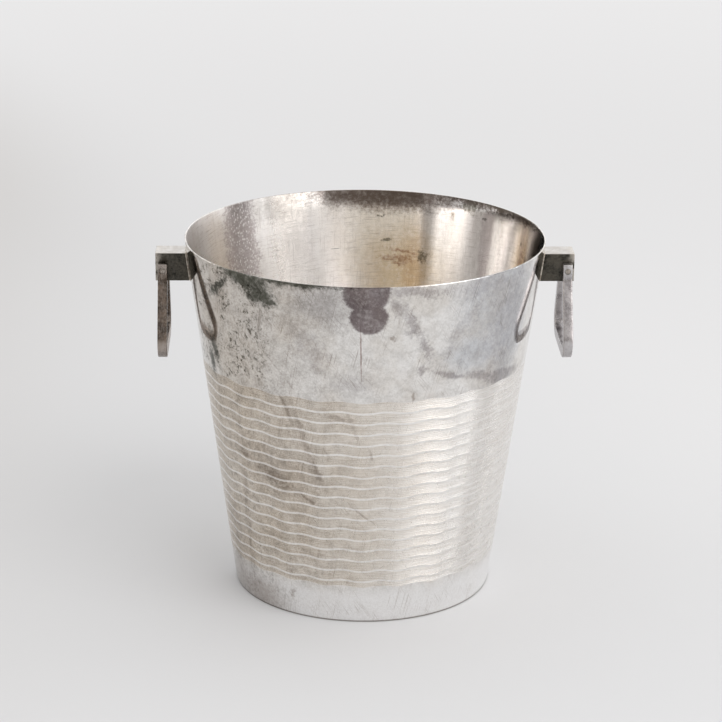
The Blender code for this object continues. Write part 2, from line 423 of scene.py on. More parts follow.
# Thin films that colour the outside and leave its polish alone
OUTSIDE_HAZE = [
    ((0.72, 0.745, 0.79), 1.0, [
        (46.5, 186.0, 25.0, 30.0, -8, 0.6, 0.9, 0.3),
        (54.0, 166.0, 15.0, 32.0, 0, 0.5, 0.6, 0.3),
        (38.0, 158.0, 20.0, 11.0, 0, 0.7, 1.0, 0.3),
    ]),
    ((0.60, 0.585, 0.57), 0.5, [
        (-14.0, 188.0, 17.0, 11.0, 0, 0.7, 1.2, 0.6),
        (-55.0, 184.0, 6.0, 9.0, 0, 0.7, 1.2, 0.8),
    ]),
]

# Painted shade that dims the inside's reflections, laid as thin films that leave its polish alone, by angle
# from the back
INSIDE_PAINTED_SHADE = [
    ((0.73, 0.725, 0.72), 1.0, [
        (38.0, 172.0, 18.0, 44.0, 0, 0.5, 0.3, 0.1),
        (-25.0, 188.0, 12.0, 26.0, 0, 0.7, 0.4, 0.2),
    ]),
    ((0.50, 0.49, 0.48), 1.0, [
        (-33.0, 202.0, 20.0, 12.0, 0, 0.7, 0.6, 0.2),
    ]),
]

# Tarnish on the inside, and painted shade in a dark band just under the rim, by angle from the back
INSIDE_STAINS_AND_SHADE = [
    ((0.84, 0.72, 0.54), 1.0, [
        (15.0, 150.0, 22.0, 22.0, 0, 0.9, 0.8, 0.12),
    ]),
    ((0.78, 0.70, 0.60), 1.0, [
        (20.0, 154.0, 8.0, 26.0, 0, 0.7, 0.8, 0.12),
    ]),
    ((0.80, 0.75, 0.66), 1.0, [
        (9.0, 178.0, 26.0, 30.0, 0, 0.8, 0.8, 0.12),
    ]),
    # Painted shade: the dark band just under the rim, where the inside reflects the dark room in front
    ((0.26, 0.22, 0.205), 1.0, [
        (9.0, 203.0, 45.0, 13.0, 0, 0.35, 0.5, 0.4),
        (50.0, 202.0, 50.0, 5.3, 0, 0.4, 0.6, 0.6),
    ]),
    ((0.33, 0.32, 0.26), 0.80, [
        (54.0, 202.0, 40.0, 4.0, 0, 0.5, 1.0, 1.0),
        (40.0, 197.0, 5.0, 3.0, 0, 0.5, 1.0, 1.0),
    ]),
    ((0.62, 0.565, 0.575), 0.85, [(-47.0, 176.0, 11.5, 40.0, 0, 0.25, 0.7, 0.8)]),
    (GREEN_BLACK, 0.75, [
        (9.5, 171.5, 2.6, 0.8, 6, 0.5, 0.5, 1.0),
        (7.0, 187.0, 2.4, 0.6, 0, 0.6, 0.8, 1.4),
        (23.0, 163.5, 2.4, 2.6, 0, 0.7, 0.8, 1.4),
        (-9.0, 166.5, 2.4, 0.22, 4, 0.5, 0.1, 0.4),
        (46.5, 191.5, 1.8, 0.8, 0, 0.5, 0.5, 0.8),
    ]),
    ((0.46, 0.30, 0.24), 0.70, [
        (15.5, 165.8, 8.0, 0.8, -8, 0.8, 0.7, 1.5),
        (14.5, 161.5, 7.0, 1.6, 0, 0.9, 1.0, 2.0),
        (13.0, 158.0, 3.0, 1.2, 0, 0.9, 1.0, 2.0),
    ]),
]


def stained_and_shaded(graph, chart, colour, stains_and_shade):
    """The colour with each shade's patches laid over it, stains and painted shade alike, and how much of the
    place they cover.
    """
    total = 0.0
    for shade, strength, patches in stains_and_shade:
        amount = 0.0
        for patch in patches:
            amount = graph.math("MAXIMUM", amount, chart.patch(*patch))
        amount = graph.times(amount, chart.depth, strength)
        colour = graph.film(amount, colour, shade)
        total = graph.math("MAXIMUM", total, amount)
    return colour, total


def weathered_and_painted_light(graph, chart):
    """The plate's own mottled film on the outside, with painted light on the foot and a painted contact
    shadow along the standing edge, and how rough it makes the surface.
    """
    clouds = graph.ramp(graph.noise(30 * MM, 4, 0.6, shift=3), 0.40, 0.62)
    mottle = graph.ramp(graph.noise(6 * MM, 8, 0.78, shift=7, warp=0.2), 0.40, 0.64)
    left = chart.fade(15, -50)
    # Painted light on the foot: lighter silver and thinner films below the band, for the brightly lit table
    # it reflects
    above_painted_foot_light = graph.ramp(chart.up, BAND_BOTTOM - 8 * MM, BAND_BOTTOM + 4 * MM, 0.15, 1.0)
    silver = graph.mix(above_painted_foot_light, FOOT_PAINTED_LIGHT_SILVER, SILVER)
    colour = graph.film(graph.times(clouds, above_painted_foot_light, 0.6), silver, WARM_FILM)
    colour = graph.film(graph.times(left, above_painted_foot_light, 0.21), colour, YELLOWED)
    film = graph.times(mottle, graph.add_up(0.40, graph.times(left, 0.24)), above_painted_foot_light)
    colour = graph.film(film, colour, GREY_FILM)

    grit = graph.ramp(graph.noise(1.0 * MM, 4, 0.75, shift=11), 0.40, 0.64)
    grit = graph.times(grit, graph.add_up(0.14, graph.times(left, above_painted_foot_light, 0.22)))
    colour = graph.film(grit, colour, BROWN)

    specks = graph.ramp(graph.noise(2.6 * MM, 6, 0.82, shift=19), 0.515, 0.575)
    where = graph.ramp(graph.noise(13 * MM, 3, 0.6, shift=23), 0.40, 0.54)
    near_left = chart.fade(-27, -44, 0.06, 1.0)
    high_up = graph.ramp(chart.up, BAND_TOP - 8 * MM, BAND_TOP + 6 * MM, 0.35, 1.0)
    specks = graph.times(specks, where, near_left, high_up)
    colour = graph.film(graph.times(specks, 0.95), colour, SPECK)

    hairs = graph.math("MAXIMUM", chart.scratches(14, 26 * MM, 0.35 * MM, 0.10, 151),
                       chart.scratches(-38, 18 * MM, 0.35 * MM, 0.09, 157))
    hairs = graph.times(hairs, graph.ramp(graph.noise(12 * MM, 2, 0.5, shift=163), 0.42, 0.6))
    colour = graph.film(graph.times(hairs, 0.45), colour, BROWN)

    # Painted contact shadow: the outside darkened within a millimetre or so of the standing edge
    contact_shadow = graph.ramp(chart.up, CONTACT_SHADOW_TOP, CONTACT_SHADOW_FULL)
    colour = graph.film(graph.times(contact_shadow, 0.85), colour, CONTACT_SHADOW)
    rough = graph.add_up(graph.times(mottle, 0.10), graph.times(clouds, 0.04), graph.times(specks, 0.2),
                         graph.times(hairs, 0.1))
    return colour, rough


def polished_silver():
    """The plain parts of the outside."""
    g = Graph("polished_silver")
    chart = Chart(g)
    colour, rough = weathered_and_painted_light(g, chart)
    colour = stained_and_shaded(g, chart, colour, OUTSIDE_HAZE)[0]
    colour, stain_and_shade = stained_and_shaded(g, chart, colour, OUTSIDE_STAINS_AND_SHADE)
    roughness = g.add_up(0.05, g.times(rough, 0.6), g.times(stain_and_shade, 0.14))
    dents = g.times(g.noise(22 * MM, 1, 0.4, shift=5), 0.05 * MM)
    pits = g.times(g.noise(1.2 * MM, 3, 0.6), 0.002 * MM)
    return g.finish(colour, roughness, g.add_up(dents, pits), 1.0)


def line_silver():
    """The thin polished lines of the band, kept cleaner than the rest by rubbing."""
    g = Graph("line_silver")
    chart = Chart(g)
    colour, rough = weathered_and_painted_light(g, chart)
    colour, stain_and_shade = stained_and_shaded(g, chart, colour, OUTSIDE_STAINS_AND_SHADE)
    colour = g.mix(0.45, colour, LINE_SILVER)
    return g.finish(colour, g.add_up(0.10, g.times(rough, 0.6), g.times(stain_and_shade, 0.1)))


def hatched_silver():
    """The band's matt stripes, brushed level on a lathe, which spreads reflections up and down."""
    g = Graph("hatched_silver")
    chart = Chart(g)
    colour, rough = weathered_and_painted_light(g, chart)
    colour, stain_and_shade = stained_and_shaded(g, chart, colour, OUTSIDE_STAINS_AND_SHADE)
    cleaner = chart.fade(-28, 22, 0.05, 0.70)
    colour = g.mix(cleaner, colour, BAND_SILVER)
    warm = chart.fade(32, -5)
    colour = g.tint(colour, g.mix(warm, BAND_COOL, BAND_WARM))
    groove = g.math("SINE", g.times(chart.up, 2 * pi / HATCH_PITCH))
    brushed = g.noise(0.5 * MM, 2, 0.6, stretch=(0.03, 0.03, 1), shift=31)
    grain = g.ramp(g.noise(0.55 * MM, 1, 0.5, shift=37), 0.60, 0.40)
    grain = g.times(grain, g.math("SUBTRACT", 0.30, g.times(cleaner, 0.40)))
    colour = g.film(g.times(g.ramp(brushed, 0.56, 0.40), 0.28), colour, GROOVE_FILM)
    colour = g.film(grain, colour, GRAIN_FILM)
    colour = g.film(g.times(g.ramp(groove, 0.3, -0.9), 0.22), colour, GROOVE_FILM)
    roughness = g.add_up(0.258, g.times(rough, 0.2), g.times(stain_and_shade, 0.1))
    height = g.add_up(g.times(groove, 0.014 * MM), g.times(brushed, 0.035 * MM))
    return g.finish(colour, roughness, height, 1.0, anisotropic=1.0, turn=0.25, tangent="Z")


def inside_silver():
    """The inside of the wall: streaked, stained, dimmed by painted shade where its reflections show dark,
    and pebbled in one patch whose beads carry painted highlights. Its ends are more satin.
    """
    g = Graph("inside_silver")
    chart = Chart(g, from_back=True)
    clouds = g.ramp(g.noise(30 * MM, 3, 0.6, shift=43), 0.38, 0.64)
    streaks = g.ramp(g.noise(3.0 * MM, 4, 0.65, stretch=(1, 1, 0.12), shift=47), 0.36, 0.66)
    mottle = g.ramp(g.noise(3.5 * MM, 6, 0.75, shift=53), 0.42, 0.66)
    colour = g.mix(g.times(clouds, 0.6), INSIDE_CLEAN, INSIDE_DULL)
    colour = g.film(g.times(streaks, 0.25), colour, STREAK_FILM)
    colour = g.film(g.times(mottle, 0.20), colour, GREY_FILM)
    colour = stained_and_shaded(g, chart, colour, INSIDE_PAINTED_SHADE)[0]
    colour, stain_and_shade = stained_and_shaded(g, chart, colour, INSIDE_STAINS_AND_SHADE)
    pebbled = chart.patch(-47.0, 172.0, 10.0, 34.0, 0, 0.3, 0.3, 0.4)
    beads = g.times(pebbled, g.ramp(g.cells(1.25 * MM, (1, 1, 0.65), shift=3), 0.50, 0.15))
    # Painted highlight: the raised beads' colour is lifted nearly to white so that they glint
    colour = g.mix(g.times(beads, 0.95), colour, BEAD_PAINTED_HIGHLIGHT)
    hairs = g.math("MAXIMUM", chart.scratches(86, 12 * MM, 0.3 * MM, 0.12, 167),
                   chart.scratches(2, 20 * MM, 0.3 * MM, 0.08, 173))
    colour = g.film(g.times(hairs, 0.35), colour, BROWN)
    dents = g.times(g.noise(24 * MM, 1, 0.4, shift=59), 0.04 * MM)
    height = g.add_up(dents, g.times(beads, 0.045 * MM), g.times(streaks, 0.0015 * MM))
    satin = g.add_up(g.ramp(chart.angle, 0, radians(-40)), g.ramp(chart.angle, radians(60), radians(140)))
    roughness = g.add_up(0.05, g.times(mottle, 0.05), g.times(stain_and_shade, 0.04), g.times(satin, 0.24))
    return g.finish(colour, roughness, height, 1.0, anisotropic=0.8, turn=0.25, tangent="Z")


def worn_mask(graph):
    """1 on the edges that hands and cloths have rubbed, from the mesh's own wear values."""
    node = graph.add("ShaderNodeAttribute", attribute_name="wear")
    return graph.times(node.outputs["Fac"], graph.ramp(graph.noise(2.5 * MM, 3, 0.6, shift=61), 0.34, 0.55))


def facing_up(graph):
    """1 on faces that look up in the piece's own frame."""
    z = graph.parts(graph.add("ShaderNodeTexCoord").outputs["Normal"])[2]
    return graph.ramp(z, 0.35, 0.85)


def bracket_silver():
    """Near black on the sides and pale on faces that look up."""
    g = Graph("bracket_silver")
    blotch = g.ramp(g.noise(3.5 * MM, 5, 0.7, shift=71), 0.36, 0.62)
    fine = g.ramp(g.noise(0.9 * MM, 4, 0.7, shift=73), 0.36, 0.66)
    dark = g.mix(blotch, BLOCK_BLACK, BLOCK_BROWN)
    dark = g.mix(g.times(fine, 0.4), dark, BLOCK_GREY)
    upper_colour = g.mix(g.times(blotch, 0.5), BLOCK_UPPER_PALE, BLOCK_DULL)
    colour = g.mix(g.times(facing_up(g), 0.92), dark, upper_colour)
    colour = g.mix(g.times(worn_mask(g), 0.55), colour, BLOCK_RUBBED)
    roughness = g.add_up(0.24, g.times(blotch, 0.16), g.times(fine, 0.06))
    height = g.add_up(g.times(blotch, 0.010 * MM), g.times(fine, 0.004 * MM))
    return g.finish(colour, roughness, height, 0.6)


# Each handle has browned or greyed in its own way: its darkest, middle and cleanest shades, how clean its
# lower bar is, and the shift of its noises
HANDLE_FINISHES = {
    "left": ((0.073, 0.059, 0.048), (0.225, 0.178, 0.143), (0.57, 0.515, 0.48), 0.45, 81),
    "right": ((0.32, 0.303, 0.312), (0.535, 0.517, 0.525), (0.69, 0.68, 0.68), 0.1, 97),
}


def handle_silver(side, pivot):
    """A handle's tarnish, with a dark line round its pin. pivot is a point on the pin's axis."""
    darkest, middle, cleanest, clean_bar, shift = HANDLE_FINISHES[side]
    g = Graph(side + "_handle_silver")
    clouds = g.ramp(g.noise(8 * MM, 4, 0.65, shift=shift), 0.36, 0.62)
    fine = g.ramp(g.noise(1.2 * MM, 5, 0.75, shift=shift + 1), 0.36, 0.66)
    drag = g.ramp(g.noise(0.8 * MM, 3, 0.7, stretch=(1, 1, 0.08), shift=shift + 2), 0.4, 0.66)
    colour = g.mix(clouds, darkest, middle)
    colour = g.film(g.times(fine, 0.45), colour, FINE_FILM)
    colour = g.mix(g.times(drag, 0.25), colour, cleanest)
    x, _, z = g.parts(g.position)
    low = g.ramp(z, pivot.z - 33 * MM, pivot.z - 40 * MM)
    colour = g.mix(g.times(low, clean_bar), colour, cleanest)
    from_axis = g.length(g.math("SUBTRACT", x, pivot.x), g.math("SUBTRACT", z, pivot.z))
    seam = g.math("ABSOLUTE", g.add_up(from_axis, -PIN_RADIUS - PIN_SEAM))
    colour = g.film(g.ramp(seam, 0.22 * MM, 0.05 * MM), colour, GREEN_BLACK)
    colour = g.mix(g.times(worn_mask(g), 0.6), colour, cleanest)
    roughness = g.add_up(0.20, g.times(fine, 0.12), g.times(clouds, 0.08))
    return g.finish(colour, roughness, g.add_up(g.times(fine, 0.004 * MM), g.times(drag, 0.003 * MM)), 0.7)


def pin_silver():
    """The pins' dull ends."""
    g = Graph("pin_silver")
    fine = g.ramp(g.noise(0.8 * MM, 4, 0.7, shift=101), 0.36, 0.66)
    colour = g.mix(fine, PIN_CLEAN, PIN_DULL)
    return g.finish(colour, g.add_up(0.24, g.times(fine, 0.14)), g.times(fine, 0.004 * MM), 0.7)


def solder_metal():
    """Lumpy grey-brown solder."""
    g = Graph("solder_metal")
    lumps = g.noise(1.6 * MM, 3, 0.6, shift=103)
    colour = g.mix(g.ramp(lumps, 0.38, 0.62), SOLDER_DULL, SOLDER_CLEAN)
    return g.finish(colour, g.add_up(0.28, g.times(lumps, 0.2)), g.times(lumps, 0.06 * MM), 0.8)


def floor_disc_silver():
    """The floor: blotched and spotted silver, with the rings that turning leaves."""
    g = Graph("floor_disc_silver")
    x, y, _ = g.parts(g.position)
    rings = g.math("SINE", g.times(g.length(x, y), 2 * pi / TURNING_PITCH))
    blotch = g.ramp(g.noise(12 * MM, 5, 0.7, shift=107), 0.38, 0.62)
    spots = g.ramp(g.noise(2.4 * MM, 5, 0.75, shift=109), 0.56, 0.68)
    colour = g.mix(blotch, DISC_CLEAN, DISC_DULL)
    colour = g.film(g.times(spots, 0.7), colour, BROWN)
    height = g.add_up(g.times(rings, 0.003 * MM), g.times(blotch, 0.02 * MM))
    return g.finish(colour, g.add_up(0.26, g.times(blotch, 0.12)), height, 0.8)


# ---------------------------------------------------------------- meshes

def loft(name, rings, materials, finishes=None, closed=False, wear=None):
    """A closed mesh skinned over rings of equally many points. finishes numbers the material of the strip
    that starts at each ring. An open loft gets an end cap on each side. wear has a value for each ring.
    """
    count = len(rings[0])
    points = [p for ring in rings for p in ring]
    faces, slots = [], []
    for i in range(len(rings) if closed else len(rings) - 1):
        here, there = i * count, (i + 1) % len(rings) * count
        for j in range(count):
            k = (j + 1) % count
            faces.append((here + j, here + k, there + k, there + j))
            slots.append(finishes[i] if finishes else 0)
    if not closed:
        faces.append(tuple(reversed(range(count))))
        faces.append(tuple(range((len(rings) - 1) * count, len(rings) * count)))
        slots += [finishes[0], finishes[-1]] if finishes else [0, 0]
    mesh = bpy.data.meshes.new(name)
    mesh.from_pydata(points, [], faces)
    for material in materials:
        mesh.materials.append(material)
    mesh.polygons.foreach_set("material_index", slots)
    mesh.polygons.foreach_set("use_smooth", [len(f) == 4 for f in faces])
    values = mesh.attributes.new("wear", "FLOAT", "POINT")
    values.data.foreach_set("value", [w for w in (wear or [0.0] * len(rings)) for _ in range(count)])
    mesh.validate()
    obj = bpy.data.objects.new(name, mesh)
    bpy.context.scene.collection.objects.link(obj)
    return obj


def rounded_rectangle(half_a, half_b, corner, side_steps=1):
    """Points (a, b) anticlockwise round a rectangle with rounded corners."""
    points = []
    quadrants = [(1, 1), (-1, 1), (-1, -1), (1, -1)]

    def on_corner(quarter, turn):
        sign_a, sign_b = quadrants[quarter % 4]
        centre = Vector((sign_a * (half_a - corner), sign_b * (half_b - corner)))
        return centre + Vector((cos(turn), sin(turn))) * corner

    for quarter in range(4):
        turns = (pi / 2 * (quarter + step / CORNER_STEPS) for step in range(CORNER_STEPS + 1))
        arc = [on_corner(quarter, turn) for turn in turns]
        points += [(p.x, p.y) for p in arc]
        end = on_corner(quarter + 1, pi / 2 * (quarter + 1))
        points += [tuple(arc[-1].lerp(end, step / side_steps)) for step in range(1, side_steps)]
    return points


# The numbers of the wall's materials
POLISHED, HATCHED, INSIDE, LINE = range(4)

# The numbers of the materials of a piece that is soldered in
BARE, SOLDERED = range(2)


def outer_rows():
    """(height, inset, sway, finish above) for rows up the outside of the wall, from foot to rim."""
    rows = [
        (FOOT_EDGE * (1 - cos(t)), FOOT_EDGE * (1 - sin(t)), 0, POLISHED)
        for t in quarter_turn(FOOT_STEPS)[:-1]
    ]
    for step in range(PLAIN_ROWS):
        rows.append((FOOT_EDGE + (PLAIN_TOP - FOOT_EDGE) * step / (PLAIN_ROWS - 1), 0, 0, POLISHED))
    edges = [BAND_BOTTOM]
    for i in range(LINE_COUNT):
        middle = LINE_FIRST + LINE_PITCH * i
        edges += [middle - LINE_WIDTH / 2, middle + LINE_WIDTH / 2]
    edges.append(BAND_TOP)
    for low, high in zip(edges[::2], edges[1::2]):
        rows += [
            (low, 0, 1, LINE),
            (low + SHOULDER, RELIEF, 1, HATCHED),
            ((low + high) / 2, RELIEF, 1, HATCHED),
            (high - SHOULDER, RELIEF, 1, LINE),
            (high, 0, 1, LINE if high < BAND_TOP else POLISHED),
        ]
    top = HEIGHT - WALL / 2
    for step in range(1, UPPER_ROWS + 1):
        rows.append((BAND_TOP + (top - BAND_TOP) * step / UPPER_ROWS, 0, 0, POLISHED))
    return rows


def wall_piece(materials):
    """The conical wall: engraved outside, rounded rim, plain inside."""
    angles = [2 * pi * j / AROUND for j in range(AROUND)]
    rings, finishes = [], []

    def add(height, inset, sway, finish):
        ring = []
        for a in angles:
            z = height + sway * WAVE_SWING * cos(WAVES * (a - radians(WAVE_CREST)))
            r = wall_radius(z) - inset
            ring.append((r * sin(a), -r * cos(a), z))
        rings.append(ring)
        finishes.append(finish)

    for row in outer_rows():
        add(*row)
    rim_middle = HEIGHT - WALL / 2
    for step in range(1, RIM_STEPS + 1):
        t = pi * step / RIM_STEPS
        finish = INSIDE if step > RIM_STEPS / 2 else POLISHED
        add(rim_middle + WALL / 2 * sin(t), WALL / 2 * (1 - cos(t)), 0, finish)
    for step in range(1, INSIDE_ROWS + 1):
        add(rim_middle + (FOOT_EDGE - rim_middle) * step / INSIDE_ROWS, WALL, 0, INSIDE)
    add(0.0, WALL - FOOT_EDGE, 0, INSIDE)
    return loft("wall", rings, materials, finishes, closed=True)


def floor_disc(material, solder):
    """The floor, let in above the standing edge, with a line of solder round it."""
    low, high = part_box("base_disc")
    rings, finishes = [], []

    def add(radius, z, finish):
        angles = (2 * pi * j / DISC_AROUND for j in range(DISC_AROUND))
        rings.append([(radius * sin(a), radius * cos(a), z) for a in angles])
        finishes.append(finish)

    top_radius = wall_radius(high.z) - WALL
    for radius in DISC_TOP_RINGS:
        add(radius, high.z, BARE)
    for t in quarter_turn(EDGE_STEPS):
        climb = SOLDER * (1 - cos(t))
        add(top_radius - SOLDER * (1 - sin(t)) + SLOPE * climb, high.z + climb, SOLDERED)
    add(top_radius + DISC_EMBED, high.z, BARE)
    add(wall_radius(low.z) - WALL + DISC_EMBED, low.z, BARE)
    for radius in reversed(DISC_UNDER_RINGS):
        add(radius, low.z, BARE)
    return loft("floor_disc", rings, [material, solder], finishes)


def bracket_piece(side, sign, material, solder):
    """A bracket: a square bar with softened edges, grown out of the wall through a fillet of solder."""
    low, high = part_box(side + "_bracket")
    half_y = high.y
    half_z = (high.z - low.z) / 2
    middle_z = (high.z + low.z) / 2
    reach = max(abs(low.x), abs(high.x))
    rings, wear, finishes = [], [], []

    def add(offset, depth, from_wall, worn, finish):
        """offset grows the outline. depth is out from the wall, or from the far face."""
        ring = []
        corner = max(BLOCK_CORNER + offset, SMALLEST_CORNER)
        for y, z in rounded_rectangle(half_y + offset, half_z + offset, corner, BLOCK_SIDE_STEPS):
            height = middle_z + z
            start = sqrt(wall_radius(height) ** 2 - y * y) if from_wall else reach
            ring.append((sign * (start + depth), sign * y, height))
        rings.append(ring)
        wear.append(worn)
        finishes.append(finish)

    add(SOLDER, -BLOCK_EMBED, True, 0, SOLDERED)
    for step, t in enumerate(quarter_turn(EDGE_STEPS)):
        finish = SOLDERED if step < EDGE_STEPS else BARE
        add(SOLDER * (1 - sin(t)), SOLDER * (1 - cos(t)), True, 0, finish)
    add(0, -BLOCK_WORN, False, 0.1, BARE)
    for t in quarter_turn(EDGE_STEPS):
        add(-BLOCK_EDGE * (1 - cos(t)), -BLOCK_EDGE * (1 - sin(t)), False, 1, BARE)
    add(-BLOCK_EDGE - BLOCK_FACE_BORDER, 0, False, 0, BARE)
    return loft(side + "_bracket_block", rings, [material, solder], finishes, wear=wear)


def rounded_path(corners):
    """Points and directions along straight runs joined by arcs. Each corner is (point, radius)."""
    path = []
    first, last = corners[0][0], corners[-1][0]
    path.append((first, (corners[1][0] - first).normalized()))
    for (before, _), (corner, radius), (after, _) in zip(corners, corners[1:], corners[2:]):
        arriving = (corner - before).normalized()
        leaving = (after - corner).normalized()
        turn = atan2(arriving.cross(leaving), arriving.dot(leaving))
        start = corner - arriving * radius * tan(abs(turn) / 2)
        centre = start + Vector((-arriving.y, arriving.x)) * copysign(radius, turn)
        steps = max(2, ceil(abs(turn) / ARC_STEP))
        for step in range(steps + 1):
            spin = Matrix.Rotation(turn * step / steps, 2)
            path.append((centre + spin @ (start - centre), spin @ arriving))
    path.append((last, (last - corners[-2][0]).normalized()))
    return path


def pivot_of(side):
    """The middle of a handle's pin."""
    low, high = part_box(side + "_pivot_pin")
    return (low + high) / 2


def handle_piece(side, material):
    """The stirrup: square bar with softened edges, swept along its bent centreline."""
    low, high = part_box(side + "_handle")
    pivot = pivot_of(side)
    half_x = (high.x - low.x) / 2
    middle_x = (high.x + low.x) / 2
    ear_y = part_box(side + "_bracket")[1].y + EAR_GAP + BAR_THICKNESS / 2
    rise = high.z - pivot.z
    corner_z = low.z + BAR_THICKNESS / 2 - pivot.z
    half = [
        (Vector((ear_y, rise)), 0),
        (Vector((ear_y, -EAR_STRAIGHT)), EAR_BEND),
        (Vector((CORNER_Y, corner_z)), CORNER_BEND),
    ]
    path = rounded_path(half + [(Vector((-p.x, p.y)), radius) for p, radius in reversed(half)])
    rings, wear = [], []

    def add(place, direction, shrink, slide, worn):
        ring = []
        across = Vector((direction.y, -direction.x))
        middle = place + direction * slide
        corner = max(BAR_EDGE - shrink, SMALLEST_BAR_CORNER)
        for a, b in rounded_rectangle(half_x - shrink, BAR_THICKNESS / 2 - shrink, corner):
            yz = middle + across * b
            ring.append((middle_x + a, yz.x, pivot.z + yz.y))
        rings.append(ring)
        wear.append(worn)

    for t in reversed(quarter_turn(EDGE_STEPS)):
        add(*path[0], BAR_EDGE * (1 - cos(t)), BAR_EDGE * (1 - sin(t)), END_WEAR)
    for place, direction in path[1:-1]:
        add(place, direction, 0, 0, 0)
    for t in quarter_turn(EDGE_STEPS):
        add(*path[-1], BAR_EDGE * (1 - cos(t)), -BAR_EDGE * (1 - sin(t)), END_WEAR)
    return loft(side + "_stirrup", rings, [material], wear=wear)


def pin_piece(side, material):
    """The pin, peened to a low dome over each ear."""
    low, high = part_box(side + "_pivot_pin")
    middle = pivot_of(side)
    shoulder = (high.y - low.y) / 2 - PIN_DOME
    far = [(PIN_RADIUS * cos(t), shoulder + PIN_DOME * sin(t)) for t in quarter_turn(PIN_DOME_STEPS)[:-1]]
    near = [(radius, -along) for radius, along in reversed(far)]
    rings = []
    for radius, along in near + far:
        angles = (2 * pi * j / PIN_AROUND for j in range(PIN_AROUND))
        rings.append([middle + Vector((radius * sin(a), along, radius * cos(a))) for a in angles])
    return loft(side + "_pin", rings, [material])


# ---------------------------------------------------------------- the bucket

def place(obj, body, node, slot):
    """The object rides on a body and stands for one of the CAD model's pieces."""
    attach(obj, body)
    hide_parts(node)


solder = solder_metal()
wall_finishes = [polished_silver(), hatched_silver(), inside_silver(), line_silver()]
place(wall_piece(wall_finishes), "bucket", "body_shell", "bucket_wall")
place(floor_disc(floor_disc_silver(), solder), "bucket", "base_disc", "bucket_floor")
block_silver = bracket_silver()
pin_metal = pin_silver()
for word, side_sign in SIDES.items():
    body = word + "_handle_body"
    bar_silver = handle_silver(word, pivot_of(word))
    place(bracket_piece(word, side_sign, block_silver, solder), "bucket", word + "_bracket", "bracket")
    place(handle_piece(word, bar_silver), body, word + "_handle", word + "_handle")
    place(pin_piece(word, pin_metal), body, word + "_pivot_pin", "pivot_pin")


# ---------------------------------------------------------------- floor, light and camera

FLOOR_SIZE = 60
# The floor's painted shade on the left, and its painted light on the window's side and towards the back
FLOOR_SHADED_WARM, FLOOR_LIT_COOL = (0.575, 0.56, 0.545), (0.665, 0.667, 0.675)
FLOOR_LIT_BACK, FLOOR_FAR = (0.705, 0.705, 0.71), (0.80, 0.80, 0.805)
BUCKET_MIDDLE = Vector((0, 0, 0.1))
WINDOW_ELEVATION, WINDOW_DISTANCE, WINDOW_HEIGHT = 24, 2.2, 2.0
CARD_DISTANCE = 2.4
KEY_SIZE, KEY_POWER, KEY_PLACE = 2.4, 30, (1.4, -1.6, 2.2)
ROOM_STRENGTH, ROOM_COLOUR = 1.12, (1.0, 1.0, 1.0, 1)
ROOM_FRONT, ROOM_LEFT = (0.60, 0.58, 0.57, 1), (0.90, 0.89, 0.88, 1)


def plain_plane(name, size, location, facing):
    """A flat square whose front looks towards a point."""
    half = size / 2
    mesh = bpy.data.meshes.new(name)
    corners = [(-half, -half, 0), (half, -half, 0), (half, half, 0), (-half, half, 0)]
    mesh.from_pydata(corners, [], [(0, 1, 2, 3)])
    obj = bpy.data.objects.new(name, mesh)
    bpy.context.scene.collection.objects.link(obj)
    obj.location = location
    obj.rotation_euler = (Vector(facing) - Vector(location)).to_track_quat("Z", "Y").to_euler()
    return obj


def studio_floor():
    """A pale floor with painted light and shade: darker and warmer on the left, away from the window, cooler
    on the window's side, and lighter towards the back and far away.
    """
    floor = plain_plane("studio_floor", FLOOR_SIZE, (0, 0, 0), (0, 0, 1))
    floor.rotation_euler = (0, 0, 0)
    g = Graph("studio_floor")
    x, y, _ = g.parts(g.position)
    # Painted shade on the left, away from the window, and painted light towards the window's side and the
    # back
    side = g.ramp(x, -0.45, -0.1)
    back = g.ramp(g.add_up(y, g.times(x, 2.0)), 0.2, 0.9)
    far = g.ramp(g.length(x, y), 0.7, 2.2)
    colour = g.mix(far, g.mix(back, g.mix(side, FLOOR_SHADED_WARM, FLOOR_LIT_COOL), FLOOR_LIT_BACK), FLOOR_FAR)
    g.put(g.shader.inputs["Base Color"], colour)
    g.shader.inputs["Roughness"].default_value = 0.35
    g.shader.inputs["Specular IOR Level"].default_value = 0.0
    floor.data.materials.append(g.material)


def glossy_only(obj):
    """The object shows in reflections and nowhere else."""
    for ray in ("camera", "diffuse", "transmission", "volume_scatter", "shadow"):
        setattr(obj, "visible_" + ray, False)


def standing_at(azimuth, elevation, distance):
    """A place that far from the bucket's middle, at an azimuth and an elevation in degrees."""
    a, e = radians(azimuth), radians(elevation)
    return BUCKET_MIDDLE + Vector((sin(a) * cos(e), -cos(a) * cos(e), sin(e))) * distance


def window(name, azimuth, width, radiance, colour):
    """A bright upright panel that only reflections see, facing the bucket."""
    light = bpy.data.lights.new(name, "AREA")
    light.shape = "RECTANGLE"
    light.size, light.size_y = width, WINDOW_HEIGHT
    light.energy = radiance * pi * width * WINDOW_HEIGHT
    light.color = colour
    obj = bpy.data.objects.new(name, light)
    bpy.context.scene.collection.objects.link(obj)
    obj.location = standing_at(azimuth, WINDOW_ELEVATION, WINDOW_DISTANCE)
    obj.rotation_euler = (BUCKET_MIDDLE - obj.location).to_track_quat("-Z", "Y").to_euler()
    glossy_only(obj)


